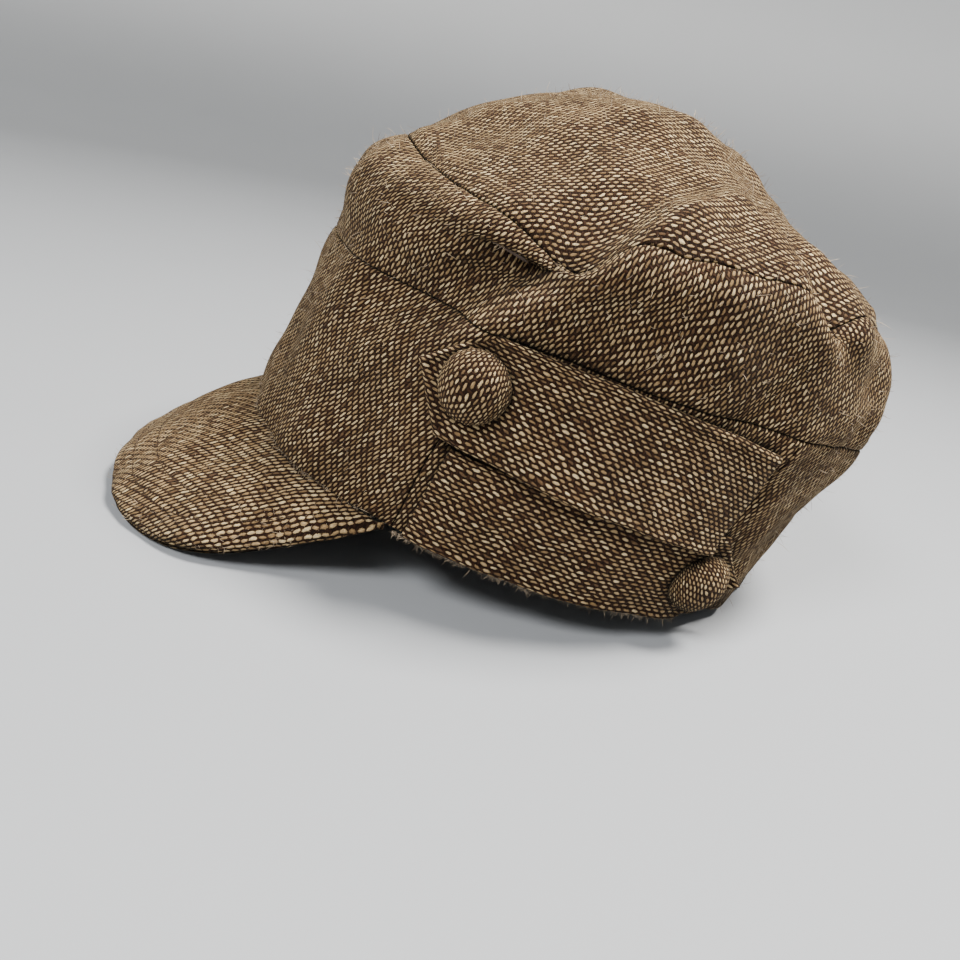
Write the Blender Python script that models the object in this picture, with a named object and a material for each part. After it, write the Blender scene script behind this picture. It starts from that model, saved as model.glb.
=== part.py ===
"""A tweed newsboy cap: panelled crown, drooping visor, two buttoned straps a side, lining and sweatband.

The cap is designed in its own cap frame: millimetres, the plane of the head opening at height 0, the front
towards -Y and the wearer's left towards +X. The empty called cap_frame then tilts it the way it lies on a
table, on the two low lobes of its visor and on the hem at the back.
"""

import math
from collections import namedtuple

import bmesh
import bpy
import numpy as np
from mathutils import Matrix, Vector

MM = 0.001

# Crown: rings of the outer fabric surface, from the hem up to the middle of the top.
Ring = namedtuple("Ring", "half_length half_width centre_y height tilt saddle wave", defaults=(0, 0, 0))
HEM, MID_BAND, BAND_SEAM, MID_SIDE, TOP_SEAM, MID_TOP, APEX = range(7)
CROWN = [
    Ring(101, 84, 0, 0),
    Ring(101.2, 89, 4.3, 35.7),
    Ring(102.4, 93.6, 10.2, 71, saddle=-1.6, wave=0.8),
    Ring(101.7, 96.5, 9.9, 89.5, tilt=1.8, saddle=-2, wave=3.4),
    Ring(88.6, 95.2, 8.8, 107.8, tilt=-0.9, saddle=-3.2, wave=6),
    Ring(38.2, 46.1, 9.7, 138.1, tilt=6.1, saddle=0.6, wave=-0.9),
    Ring(0, 0, 18.7, 145.3),
]
BAND_RISE = 35.5  # height gained per level between the hem and the band seam

# How the cap lies on a table.
REST_TILT = math.radians(9.44)
REST_PLACE = Vector((0, 0.01084, 0.0166))

# Cloth and other sheet thicknesses.
SHELL = 1.4
STAY = 0.5
LINING = 0.5
SWEATBAND = 0.8
STRAP_PLY = 1.1
GAP = 0.3

# Places round the band, in degrees from the front towards the wearer's left.
FRONT_SEAM = 63.5
REAR_SEAM = 120
STEP = 7.5  # one facet of the crown
SEAM_TRIM = 0.01  # half the gap at the band and top seams, in levels

# Visor: it is sewn to the front band between the two front seams.
VISOR_REACH = 96
VISOR_HALF_WIDTH = 83.6
VISOR_SQUARENESS = 0.81
VISOR_DROP = 34.3
VISOR_ARCH = 16
VISOR_FADE = 0.69
VISOR_BOW = 1.9
VISOR_RISE = 6.5  # how far the band's lower edge rises at the front
VISOR_RISE_SPREAD = 34  # degrees round the front
VISOR_CORNER = FRONT_SEAM - 0.8  # where its covers end, just short of the strap's seam
VISOR_DROPPED = 0.45  # how far its root lies below the band's edge
VISOR_SEWN_SHARE = 0.93  # the share of the root that the covers show; the rest is in the seam
VISOR_COVER = 1.1
VISOR_BOARD = 1.6

# Straps: sewn into one seam, buttoned near the pointed tip.
Strap = namedtuple("Strap", "name sewn_at tip_at sewn_height tip_height half_width lift_low lift_high")
UPPER_STRAP = Strap("upper_strap", 119, 53.5, 46.5, 54.6, 17.4, 3.9, 0.9)
LOWER_STRAP = Strap("lower_strap", 64.5, 131.5, 18.3, 18, 17.4, 0.5, 0.5)
STRAP_TIP = 17
BUTTON_FROM_TIP = 20

# Covered buttons.
BUTTON_RADIUS = 10.5
BUTTON_DOME = 6.2
BUTTON_CLEARANCE = 0.5
BUTTON_CLOTH = 1.0
BUTTON_METAL = 0.4
EYE_RADIUS = 1.3
EYE_WIRE = 0.35
EYE_SUNK = 0.45  # how far the eye goes into the back plate
PLATE_RADIUS = 6.4
PLATE_UNDERSIDE = 3.0
THREAD_RADIUS = 0.3
THREAD_FOOT = 1.9
THREAD_TOP = 2.1


def direction_of(point):
    return point / np.linalg.norm(point)


def ring_point(ring, theta):
    """The point of a ring at the angle theta, in degrees from the front towards the wearer's left."""
    turn = math.radians(theta)
    waves = ring.tilt * math.cos(turn) + ring.saddle * math.cos(2 * turn) + ring.wave * math.cos(3 * turn)
    return np.array([
        ring.half_width * math.sin(turn),
        ring.centre_y - ring.half_length * math.cos(turn),
        ring.height + waves,
    ])


def ring_slope(index, theta):
    """How the surface moves from one ring to the next, for the smooth curve through the rings."""
    if index == HEM:
        return ring_point(CROWN[MID_BAND], theta) - ring_point(CROWN[HEM], theta)
    if index == APEX:
        across = ring_point(CROWN[MID_TOP], theta + 180) - ring_point(CROWN[MID_TOP], theta)
        return across / 2 * np.array([1, 1, 0])
    return (ring_point(CROWN[index + 1], theta) - ring_point(CROWN[index - 1], theta)) / 2


def crown_surface(theta, level):
    """The outer fabric surface; level counts rings, so 2 is the band seam and 4 the top seam."""
    low = min(max(math.floor(level), HEM), APEX - 1)
    f = level - low
    start, end = ring_point(CROWN[low], theta), ring_point(CROWN[low + 1], theta)
    return (
        (2 * f**3 - 3 * f**2 + 1) * start
        + (f**3 - 2 * f**2 + f) * ring_slope(low, theta)
        + (3 * f**2 - 2 * f**3) * end
        + (f**3 - f**2) * ring_slope(low + 1, theta)
    )


def crown_normal(theta, level):
    if level > APEX - 0.01:
        return np.array([0.0, 0.0, 1.0])
    small = 0.01
    along = crown_surface(theta + small, level) - crown_surface(theta - small, level)
    up = crown_surface(theta, level + small) - crown_surface(theta, level - small)
    return direction_of(np.cross(along, up))


def crown_at(theta, level, depth=0.0):
    """A point at a depth below the outer fabric surface; a negative depth is outside it."""
    return crown_surface(theta, level) - depth * crown_normal(theta, level)


def spread(start, end, count):
    return [start + (end - start) * i / (count - 1) for i in range(count)]


def material(name, colour, roughness=0.9, metallic=0.0):
    made = bpy.data.materials.new(name)
    made.use_nodes = True
    shader = made.node_tree.nodes["Principled BSDF"]
    shader.inputs["Base Color"].default_value = (*colour, 1)
    shader.inputs["Roughness"].default_value = roughness
    shader.inputs["Metallic"].default_value = metallic
    made.diffuse_color = (*colour, 1)
    return made


def add_object(name, bm, finish, parent):
    bmesh.ops.recalc_face_normals(bm, faces=bm.faces)
    mesh = bpy.data.meshes.new(name)
    bm.to_mesh(mesh)
    bm.free()
    mesh.shade_smooth()
    mesh.set_sharp_from_angle(angle=math.radians(40))
    mesh.materials.append(finish)
    made = bpy.data.objects.new(name, mesh)
    made.parent = parent
    bpy.context.scene.collection.objects.link(made)
    return made


def sheet(name, outer, inner, finish, parent, ring=False, pole=None):
    """A closed sheet between two grids of points. Its columns close into a ring, its last row onto a pole."""
    bm = bmesh.new()
    rows, columns = len(outer), len(outer[0])
    sides = [[[bm.verts.new(Vector(p) * MM) for p in row] for row in grid] for grid in (outer, inner)]
    spans = columns if ring else columns - 1
    for side in sides:
        for r in range(rows - 1):
            for c in range(spans):
                d = (c + 1) % columns
                bm.faces.new((side[r][c], side[r][d], side[r + 1][d], side[r + 1][c]))
    front, back = sides
    rims = [0] if pole else [0, rows - 1]
    for r in rims:
        for c in range(spans):
            d = (c + 1) % columns
            bm.faces.new((front[r][c], front[r][d], back[r][d], back[r][c]))
    if not ring:
        for c in (0, columns - 1):
            for r in range(rows - 1):
                bm.faces.new((front[r][c], front[r + 1][c], back[r + 1][c], back[r][c]))
    if pole:
        for side, point in zip(sides, pole):
            tip = bm.verts.new(Vector(point) * MM)
            for c in range(spans):
                bm.faces.new((side[-1][c], side[-1][(c + 1) % columns], tip))
    return add_object(name, bm, finish, parent)


def crown_panel(name, thetas, levels, depth, thickness, finish, parent):
    """A panel of the crown between two angles; levels gives the rows at each angle."""
    columns = [(theta, levels(theta)) for theta in thetas]
    rows = range(len(columns[0][1]))

    def layer(at_depth):
        return [[crown_at(theta, level[r], at_depth) for theta, level in columns] for r in rows]

    outer, inner = layer(depth), layer(depth + thickness)
    for outer_foot, inner_foot in zip(outer[0], inner[0]):
        inner_foot[2] = outer_foot[2]
    return sheet(name, outer, inner, finish, parent)


def edge_trim(theta):
    """Half the gap between two neighbouring panels, as an angle."""
    return math.degrees(GAP / 2 / np.linalg.norm(crown_surface(theta, BAND_SEAM)[:2]))


def facets(start, end):
    """Angles from start to end that meet the crown's common facets, with a small gap at both ends."""
    turns = range(math.ceil((start + 1.5) / STEP), math.floor((end - 1.5) / STEP) + 1)
    inner = [k * STEP for k in turns]
    return [start + edge_trim(start), *inner, end - edge_trim(end)]


def front_rise(theta):
    """The height of the band's lower edge, which rises over the visor."""
    folded = (theta + 180) % 360 - 180
    return VISOR_RISE * math.exp(-((folded / VISOR_RISE_SPREAD) ** 2))


def rows_between(start, end):
    """Levels from start to end that meet the crown's common rows, two to each ring."""
    return [start, *[k / 2 for k in range(1, 12) if start + 0.1 < k / 2 < end - 0.1], end]


def band_levels(theta):
    return rows_between(front_rise(theta) / BAND_RISE, BAND_SEAM - SEAM_TRIM)


def build_crown(cloth, parent):
    def side_levels(_theta):
        return rows_between(BAND_SEAM + SEAM_TRIM, TOP_SEAM - SEAM_TRIM)

    crown_panel("front_band", facets(-FRONT_SEAM, FRONT_SEAM), band_levels, 0, SHELL, cloth, parent)
    crown_panel("side_band_left", facets(FRONT_SEAM, REAR_SEAM), band_levels, 0, SHELL, cloth, parent)
    crown_panel("side_band_right", facets(-REAR_SEAM, -FRONT_SEAM), band_levels, 0, SHELL, cloth, parent)
    crown_panel("back_band", facets(REAR_SEAM, 360 - REAR_SEAM), band_levels, 0, SHELL, cloth, parent)
    crown_panel("side_panel_left", facets(0, 180), side_levels, 0, SHELL, cloth, parent)
    crown_panel("side_panel_right", facets(-180, 0), side_levels, 0, SHELL, cloth, parent)
    dome("top_panel", 0, SHELL, cloth, parent)


def dome(name, depth, thickness, finish, parent):
    """The round panel that closes the top, at a depth below the outer surface."""
    thetas = [k * STEP for k in range(48)]
    levels = rows_between(TOP_SEAM + SEAM_TRIM, 5.7)

    def layer(at_depth):
        return [[crown_at(theta, level, at_depth) for theta in thetas] for level in levels]

    pole = [crown_at(0, APEX, depth), crown_at(0, APEX, depth + thickness)]
    return sheet(name, layer(depth), layer(depth + thickness), finish, parent, ring=True, pole=pole)


def build_inside(stay_cloth, lining_cloth, leather, label_cloth, parent):
    """Stiffener, lining, sweatband and label, each a layer further in than the one before."""
    stay_depth = SHELL + GAP
    lining_depth = stay_depth + STAY + GAP
    sweatband_depth = lining_depth + LINING + GAP

    def stay_levels(theta):
        return rows_between(front_rise(theta) / BAND_RISE + 0.08, BAND_SEAM - 0.1)

    def lining_levels(theta):
        return rows_between(front_rise(theta) / BAND_RISE + 0.03, TOP_SEAM - 0.02)

    def sweatband_levels(theta):
        return rows_between(front_rise(theta) / BAND_RISE + 0.05, 0.95)

    def label_levels(_theta):
        return rows_between(1.08, 1.62)

    stay_half = FRONT_SEAM - 1.5
    across = facets(-stay_half, stay_half)
    crown_panel("front_stay", across, stay_levels, stay_depth, STAY, stay_cloth, parent)
    for name, start, end in (("lining_side_left", 0, 180), ("lining_side_right", -180, 0)):
        crown_panel(name, facets(start, end), lining_levels, lining_depth, LINING, lining_cloth, parent)
    dome("lining_top", lining_depth, LINING, lining_cloth, parent)
    around = facets(180, 540)
    crown_panel("sweatband", around, sweatband_levels, sweatband_depth, SWEATBAND, leather, parent)
    crown_panel("size_label", facets(168, 192), label_levels, sweatband_depth, 0.35, label_cloth, parent)


def visor_surface(across, out):
    """The top of the visor: across runs from -1 at the wearer's right to 1, out from 0 at the band to 1."""
    theta = across * VISOR_CORNER
    root = crown_at(theta, front_rise(theta) / BAND_RISE)
    root[2] -= VISOR_DROPPED
    corner = crown_at(math.copysign(VISOR_CORNER, across), 0)
    turn = across * math.pi / 2
    side = abs(math.sin(turn))
    front = max(math.cos(turn), 0)
    width = VISOR_HALF_WIDTH * side**VISOR_SQUARENESS - (VISOR_HALF_WIDTH - abs(corner[0])) * side**12
    edge = np.array([
        math.copysign(width, across),
        corner[1] - VISOR_REACH * front**VISOR_SQUARENESS,
        corner[2] - (VISOR_DROP + VISOR_ARCH * side**2) * front**VISOR_FADE,
    ])
    point = root + (edge - root) * out
    point[2] += 4 * out * (1 - out) * VISOR_BOW
    return point


def visor_normal(across, out):
    small = 0.01
    sideways = visor_surface(across + small, out) - visor_surface(across - small, out)
    outward = visor_surface(across, out + small) - visor_surface(across, out - small)
    return direction_of(np.cross(outward, sideways))


def visor_layer(depth, inset):
    """A grid of the visor at a depth below its top, drawn in from its outer edge by a share."""
    across = spread(-VISOR_SEWN_SHARE, VISOR_SEWN_SHARE, 21)
    out = spread(0.012, 1 - inset, 5)
    return [[visor_surface(a, o) - depth * visor_normal(a, o) for a in across] for o in out]


def build_visor(cloth, board_stuff, parent):
    layers = (
        ("visor_top_cover", 0, VISOR_COVER, 0.0, cloth),
        ("visor_board", VISOR_COVER + GAP, VISOR_BOARD, 0.04, board_stuff),
        ("visor_under_cover", VISOR_COVER + VISOR_BOARD + 2 * GAP, VISOR_COVER, 0.0, cloth),
    )
    for name, depth, thickness, inset, finish in layers:
        sheet(name, visor_layer(depth, inset), visor_layer(depth + thickness, inset), finish, parent)


def strap_point(strap, side, along, across, lift):
    """A point of a strap: along runs 0 to 1 from its seam to its tip, across -1 to 1 from low to high."""
    theta = strap.sewn_at + (strap.tip_at - strap.sewn_at) * along
    centre = strap.tip_height - (strap.tip_height - strap.sewn_height) * (1 - along) ** 2.5
    height = centre + across * strap.half_width
    stand = strap.lift_low + (strap.lift_high - strap.lift_low) * (across + 1) / 2
    return crown_at(side * theta, height / BAND_RISE, -(stand + lift))


def strap_length(strap):
    ends = [strap_point(strap, 1, along, 0, 0) for along in spread(0, 1, 25)]
    return sum(np.linalg.norm(b - a) for a, b in zip(ends, ends[1:]))


def strap_grid(strap, side, lift):
    """The strap's rows from its lower to its upper edge, narrowing to the pointed tip."""
    tip_share = STRAP_TIP / strap_length(strap)
    alongs = [*spread(0.004, 1 - tip_share, 10), *spread(1 - tip_share, 0.997, 4)[1:]]

    def narrowed(along):
        return min(1.0, (1 - along) / tip_share)

    rows = spread(-1, 1, 3)
    return [[strap_point(strap, side, a, row * narrowed(a), lift) for a in alongs] for row in rows]


def build_straps(cloth, parent):
    for strap in (UPPER_STRAP, LOWER_STRAP):
        for side_name, side in (("left", 1), ("right", -1)):
            plies = (("backing", 0), ("face", STRAP_PLY + GAP))
            for ply_name, lift in plies:
                low, high = strap_grid(strap, side, lift), strap_grid(strap, side, lift + STRAP_PLY)
                sheet(f"{strap.name}_{ply_name}_{side_name}", high, low, cloth, parent)


def button_frame(strap, side):
    """Where a button sits: on the middle of the strap, with +Z out of the cloth and +X along the strap."""
    along = 1 - BUTTON_FROM_TIP / strap_length(strap)
    face = 2 * STRAP_PLY + GAP
    centre, ahead, above = (
        Vector(strap_point(strap, side, a, w, face)) for a, w in ((along, 0), (along - 0.02, 0), (along, 0.1))
    )
    x = (ahead - centre).normalized()
    z = x.cross(above - centre).normalized() * side * (1 if strap.tip_at < strap.sewn_at else -1)
    x = (x - z * x.dot(z)).normalized()
    turned = Matrix((x, z.cross(x), z)).transposed().to_4x4()
    turned.translation = centre * MM
    return turned


def turned_solid(name, profile, finish, parent, sides=16):
    """A solid of revolution about Z; the profile is a closed outline of (radius, height) points."""
    bm = bmesh.new()
    columns = []
    for k in range(sides):
        turn = 2 * math.pi * k / sides
        spoke = Vector((math.cos(turn), math.sin(turn), 0))
        columns.append([bm.verts.new((spoke * r + Vector((0, 0, z))) * MM) for r, z in profile])
    count = len(profile)
    for k in range(sides):
        here, there = columns[k], columns[(k + 1) % sides]
        for i in range(count):
            j = (i + 1) % count
            bm.faces.new((here[i], there[i], there[j], here[j]))
    bmesh.ops.remove_doubles(bm, verts=bm.verts, dist=1e-7)
    bmesh.ops.dissolve_degenerate(bm, edges=bm.edges, dist=1e-7)
    return add_object(name, bm, finish, parent)


def dome_profile(radius, rim, top, count=5):
    """A quarter of a flattened round from the rim up to the axis."""
    arcs = [math.pi / 2 * i / (count - 1) for i in range(count)]
    points = [(radius * math.cos(a) ** 0.8, rim + (top - rim) * math.sin(a)) for a in arcs]
    return points[:-1] + [(0, top)]


def add_button(label, cloth, metal, thread, swivel, anchor):
    rim = BUTTON_CLEARANCE
    top = rim + BUTTON_DOME
    cover_out = dome_profile(BUTTON_RADIUS, rim, top)
    cover_back = dome_profile(BUTTON_RADIUS - BUTTON_CLOTH, rim, top - BUTTON_CLOTH)
    turned_solid(f"button_cover_{label}", cover_out + cover_back[::-1], cloth, swivel)
    shell_radius = BUTTON_RADIUS - BUTTON_CLOTH - GAP
    shell_rim = rim + BUTTON_METAL
    shell_top = top - BUTTON_CLOTH - GAP
    shell_out = dome_profile(shell_radius, shell_rim, shell_top)
    shell_back = dome_profile(shell_radius - BUTTON_METAL, shell_rim, shell_top - BUTTON_METAL)
    turned_solid(f"button_shell_{label}", shell_out + shell_back[::-1], metal, swivel)
    plate_outline = [(PLATE_RADIUS, 0), (PLATE_RADIUS, BUTTON_METAL), (0, BUTTON_METAL), (0, 0)]
    plate = turned_solid(f"button_back_{label}", plate_outline, metal, swivel)
    plate.location.z = PLATE_UNDERSIDE * MM
    join_eye(plate, swivel)
    add_thread(f"button_thread_{label}", thread, anchor)


def join_eye(plate, swivel):
    """Unites the wire eye with the back plate of a button."""
    bpy.ops.mesh.primitive_torus_add(
        major_radius=EYE_RADIUS * MM, minor_radius=EYE_WIRE * MM, major_segments=12, minor_segments=5
    )
    eye = bpy.context.object
    eye.name = plate.name + "_eye"
    eye.parent = swivel
    eye.rotation_euler.x = math.pi / 2
    eye.location.z = (PLATE_UNDERSIDE - EYE_RADIUS + EYE_SUNK) * MM
    eye.hide_render = True
    eye.display_type = "WIRE"
    union = plate.modifiers.new("eye", "BOOLEAN")
    union.operation = "UNION"
    union.object = eye


def add_thread(name, finish, anchor):
    """The sewing thread: an arch through the eye, with both feet on the strap's face."""
    base = THREAD_RADIUS + 0.15
    curve = bpy.data.curves.new(name, "CURVE")
    curve.dimensions = "3D"
    curve.bevel_depth = THREAD_RADIUS * MM
    curve.bevel_resolution = 1
    curve.use_fill_caps = True
    spline = curve.splines.new("POLY")
    turns = spread(0, math.pi, 7)
    spline.points.add(len(turns) - 1)
    for point, turn in zip(spline.points, turns):
        height = base + (THREAD_TOP - base) * math.sin(turn)
        point.co = (0, THREAD_FOOT * math.cos(turn) * MM, height * MM, 1)
    curve.materials.append(finish)
    made = bpy.data.objects.new(name, curve)
    made.parent = anchor
    bpy.context.scene.collection.objects.link(made)


def build_buttons(cloth, metal, thread, parent):
    for strap in (UPPER_STRAP, LOWER_STRAP):
        for side_name, side in (("left", 1), ("right", -1)):
            label = strap.name.replace("strap", side_name)
            anchor = bpy.data.objects.new(f"button_place_{label}", None)
            anchor.parent = parent
            anchor.matrix_local = button_frame(strap, side)
            swivel = bpy.data.objects.new(f"button_swivel_{label}", None)
            swivel.parent = anchor
            for empty in (anchor, swivel):
                bpy.context.scene.collection.objects.link(empty)
            add_button(label, cloth, metal, thread, swivel, anchor)


def main():
    for old in list(bpy.data.objects):
        bpy.data.objects.remove(old)
    cap_frame = bpy.data.objects.new("cap_frame", None)
    bpy.context.scene.collection.objects.link(cap_frame)
    cap_frame.rotation_euler.x = -REST_TILT
    cap_frame.location = REST_PLACE
    tweed = material("tweed", (0.21, 0.15, 0.10), 0.95)
    visor_tweed = material("visor_tweed", (0.23, 0.17, 0.11), 0.95)
    strap_tweed = material("strap_tweed", (0.18, 0.125, 0.085), 0.95)
    stay_cloth = material("stay_cloth", (0.75, 0.73, 0.68))
    lining_cloth = material("lining_cloth", (0.10, 0.065, 0.045), 0.5)
    sweatband_cloth = material("sweatband_cloth", (0.07, 0.045, 0.03), 0.8)
    label_cloth = material("label_cloth", (0.72, 0.66, 0.55), 0.6)
    board_plastic = material("board_plastic", (0.80, 0.79, 0.74), 0.45)
    metal = material("button_metal", (0.70, 0.70, 0.68), 0.35, 1.0)
    thread = material("brown_thread", (0.09, 0.06, 0.04), 0.7)
    build_crown(tweed, cap_frame)
    build_inside(stay_cloth, lining_cloth, sweatband_cloth, label_cloth, cap_frame)
    build_visor(visor_tweed, board_plastic, cap_frame)
    build_straps(strap_tweed, cap_frame)
    build_buttons(strap_tweed, metal, thread, cap_frame)
    bpy.context.view_layer.update()


main()
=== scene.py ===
"""The looks of the tweed newsboy cap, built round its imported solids.

Shapes are made in the cap's own frame: millimetres, the head opening at height 0, the front towards -Y and
the wearer's left towards +X. to_row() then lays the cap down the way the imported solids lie.
"""

import math
from collections import namedtuple

import bmesh
import bpy
import numpy as np
from mathutils import Matrix, Vector


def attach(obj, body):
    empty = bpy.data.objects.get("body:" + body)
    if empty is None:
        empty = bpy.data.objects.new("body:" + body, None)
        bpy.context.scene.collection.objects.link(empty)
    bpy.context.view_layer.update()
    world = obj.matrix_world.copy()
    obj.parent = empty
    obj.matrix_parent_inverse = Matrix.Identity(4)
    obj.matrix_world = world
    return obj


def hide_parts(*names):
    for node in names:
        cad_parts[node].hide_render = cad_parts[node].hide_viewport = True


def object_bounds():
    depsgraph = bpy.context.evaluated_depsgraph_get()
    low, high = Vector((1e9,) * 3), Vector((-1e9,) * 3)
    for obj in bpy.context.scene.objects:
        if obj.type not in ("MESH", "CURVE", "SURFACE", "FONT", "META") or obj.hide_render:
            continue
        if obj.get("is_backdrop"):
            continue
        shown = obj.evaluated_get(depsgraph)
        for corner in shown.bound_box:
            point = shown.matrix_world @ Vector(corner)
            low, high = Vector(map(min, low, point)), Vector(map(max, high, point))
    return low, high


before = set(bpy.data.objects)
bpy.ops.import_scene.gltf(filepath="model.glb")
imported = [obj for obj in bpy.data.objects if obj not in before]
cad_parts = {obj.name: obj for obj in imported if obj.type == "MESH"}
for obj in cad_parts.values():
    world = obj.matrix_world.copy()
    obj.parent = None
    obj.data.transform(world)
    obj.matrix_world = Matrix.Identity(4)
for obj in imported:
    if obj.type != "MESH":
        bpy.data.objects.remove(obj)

CAD_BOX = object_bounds()
MM = 0.001

# Crown rings of the outer surface, from the hem to the middle of the top.
HALF_LENGTH, HALF_WIDTH, CENTRE_Y, HEIGHT, TILT, SADDLE, WAVE = range(7)
RINGS = np.array([
    (101, 84, 0, 0, 0, 0, 0),
    (101.2, 89, 4.3, 35.7, 0, 0, 0),
    (102.4, 93.6, 10.2, 71, 0, -1.6, 0.8),
    (101.7, 96.5, 9.9, 89.5, 1.8, -2, 3.4),
    (88.6, 95.2, 8.8, 107.8, -0.9, -3.2, 6),
    (38.2, 46.1, 9.7, 138.1, 6.1, 0.6, -0.9),
    (0, 0, 18.7, 145.3, 0, 0, 0),
])
HEM, BAND_SEAM, TOP_SEAM, APEX = 0, 2, 4, 6
BAND_RISE = 35.5  # height of one level of the band
REST_TILT = math.radians(9.44)
REST_PLACE = np.array((0, 10.84, 16.6))

# How deep each layer lies below the outer surface, and its thickness.
SHELL_LAYER = (0, 1.4)
ALLOWANCE_LAYER = (1.5, 0.7)
STAY_LAYER = (1.7, 0.5)
LINING_LAYER = (2.5, 0.5)
SWEATBAND_LAYER = (3.3, 0.8)
LABEL_LAYER = (3.3, 0.35)

FRONT_SEAM, REAR_SEAM = 63.5, 120
HALVES = (("left", 0), ("right", -180))  # the angle where each half of the cap starts
PANEL_TRIM = 0.07  # half the gap left at a seam
SEAM_TRIM = math.degrees(PANEL_TRIM / 98)
# Lean of the yarns and of their rows on a side panel, by the angle from its start: all in degrees.
SIDE_PANEL_GRAIN = ((0, 28, 8), (48, 27, 11), (91, 6, 17), (104, 10, 14), (180, 10, 8))
EDGE_ROLL = 0.8  # radius of a cloth edge where it turns into its seam
SMALL = 0.01  # a step for measuring slopes, in degrees, levels or shares

VISOR_REACH, VISOR_HALF_WIDTH, VISOR_SQUARENESS = 96, 83.6, 0.81
VISOR_DROP, VISOR_ARCH, VISOR_FADE, VISOR_BOW = 34.3, 16, 0.69, 1.9
VISOR_RISE, VISOR_RISE_SPREAD = 6.5, 34
VISOR_CORNER, VISOR_DROPPED, VISOR_CORNER_SHARE = FRONT_SEAM - 0.8, 0.45, 0.996
VISOR_COVER, VISOR_THICKNESS, VISOR_EDGE, VISOR_ROOT_LIFT = 1.1, 4.4, 2.6, 3.8
VISOR_ROOT_IN = -0.02  # the covers run a little way in under the band

STITCH_ROWS = (9.5, 19)  # distance of each stitched row from the visor's edge
STITCH_LENGTH, STITCH_PITCH, STITCH_RADIUS, STITCH_SIDES = 2.6, 3.4, 0.22, 6
STITCH_PROFILE = ((-0.5, 0.25), (-0.36, 0.85), (0, 1), (0.36, 0.85), (0.5, 0.25))

# A crease of a strap: its two ends as shares of the length and half width, its height outwards and its width.
Crease = namedtuple("Crease", "start end height width")
UPPER_CREASES = (
    Crease((0.86, 0.98), (0.9, 0.62), -1.3, 1.3),
    Crease((0.82, 1), (0.83, 0.66), 0.9, 1.8),
    Crease((0.5, -1), (0.6, 1), 0.4, 9),
    Crease((0.1, -0.6), (0.3, -0.9), -0.5, 5),
)
LOWER_CREASES = (
    Crease((0.06, -0.2), (0.17, 0.45), -1.1, 1.8),
    Crease((0.13, -0.35), (0.24, 0.4), 0.7, 3),
    Crease((0.55, -0.9), (0.62, 0.9), 0.5, 9),
    Crease((0.9, 0.9), (0.93, 0.2), -0.5, 2.5),
)
# Where a strap is sewn and its tip, in degrees round the head, its heights, and how its tweed lies on it.
Strap = namedtuple("Strap", (
    "name sewn_at tip_at sewn_height tip_height half_width lift_low lift_high skew weave grain creases"
))
UPPER_STRAP = Strap("upper_strap", 119, 53.5, 46.5, 54.6, 17.4, 3.9, 0.9, -0.2, 1, 98, UPPER_CREASES)
LOWER_STRAP = Strap("lower_strap", 64.5, 131.5, 18.3, 18, 17.4, 0.5, 0.5, 0.2, 0.88, 50, LOWER_CREASES)
STRAPS = (UPPER_STRAP, LOWER_STRAP)
SIDES = (("left", 1), ("right", -1))
STRAP_TIP, BUTTON_FROM_TIP = 17, 20
STRAP_THICKNESS, STRAP_EDGE = 2.5, 1.7
TIP_COLUMNS = np.array((9.5, 7.5, 5.5, 4, 2.8, 1.8, 1, 0.45, 0.1))  # from the tip, where the mesh is finer
CUT_WASTE, NARROWEST_CUT = 1.15, 0.12  # a cut's rectangle over its panel's area, and its least proportion

BUTTON_RADIUS, BUTTON_DOME, BUTTON_CLEARANCE = 10.9, 7, 0.6
BUTTON_CLOTH, BUTTON_RIM, BUTTON_RIM_HEIGHT, BUTTON_CUT = 0.85, 1.1, 1.3, 28
BUTTON_RUN, BUTTON_SWELL = 12.6, 1.42  # the cloth's way over a button, and how much larger its weave looks

# Tweed: the spacing of its light flecks along and across the grain, and its colours.
FLECK, YARN_ROW = 2.76, 1.27
DARK_YARN, DARKER_YARN, DARK_FLOAT = (0.02, 0.0076, 0.0034), (0.005, 0.002, 0.001), (0.05, 0.021, 0.0095)
LIGHT_YARNS = (
    (0, (0.09, 0.048, 0.024)),
    (0.07, (0.23, 0.143, 0.064)),
    (0.4, (0.395, 0.264, 0.128)),
    (0.8, (0.54, 0.384, 0.196)),
    (1, (0.7, 0.54, 0.3)),
)
GOLDEN_YARN, STRAY_FIBRE = (0.26, 0.17, 0.065), (0.085, 0.05, 0.026)
LEAN_SPREAD = 0.18
THREAD_TWIST = 2.4  # turns of the ply in 2 mm
CREVICE_SHADE_REACH = 0.026  # how far apart two surfaces are, in metres, where painted shade starts to darken the cloth between them

FIBRE_RADIUS = 0.06
FIBRE_PROFILE = ((0, 1), (0.4, 0.95), (0.75, 0.7), (1, 0.2))
CROWN_HAIRS, HEM_HAIRS, VISOR_HAIRS, STRAP_HAIRS = 4200, 1500, 1100, 900
HAIR_ROOT, HAIR_CLEAR_OF_FLOOR = 0.3, 0.005  # in millimetres below the surface, and in metres over the floor

# Camera and stage.
CAMERA_AIM = Vector((0.02116, -0.00159, 0.02464))
CAMERA_DISTANCE = 0.34855
CAMERA_AZIMUTH = math.radians(82.55)
CAMERA_ELEVATION = math.radians(20.94)
CAMERA_ROLL = math.radians(12.53)
CAMERA_LENS = 35.3
Light = namedtuple("Light", "name place size power colour")
LIGHTS = (
    Light("overhead", (0.12, 0.42, 1.1), 0.4, 46, (1, 0.97, 0.935)),
    Light("front_fill", (0.86, -0.64, 1.06), 0.5, 27, (0.98, 0.985, 1)),
)
LIGHT_AIM = Vector((0, 0, 0.08))
WORLD_COLOUR, WORLD_STRENGTH = (0.93, 0.96, 1, 1), 0.13
FLOOR_RADIUS, WALL_CURVE, WALL_TOP, STAGE_SIDES = 1.2, 0.9, 2.2, 96

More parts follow.
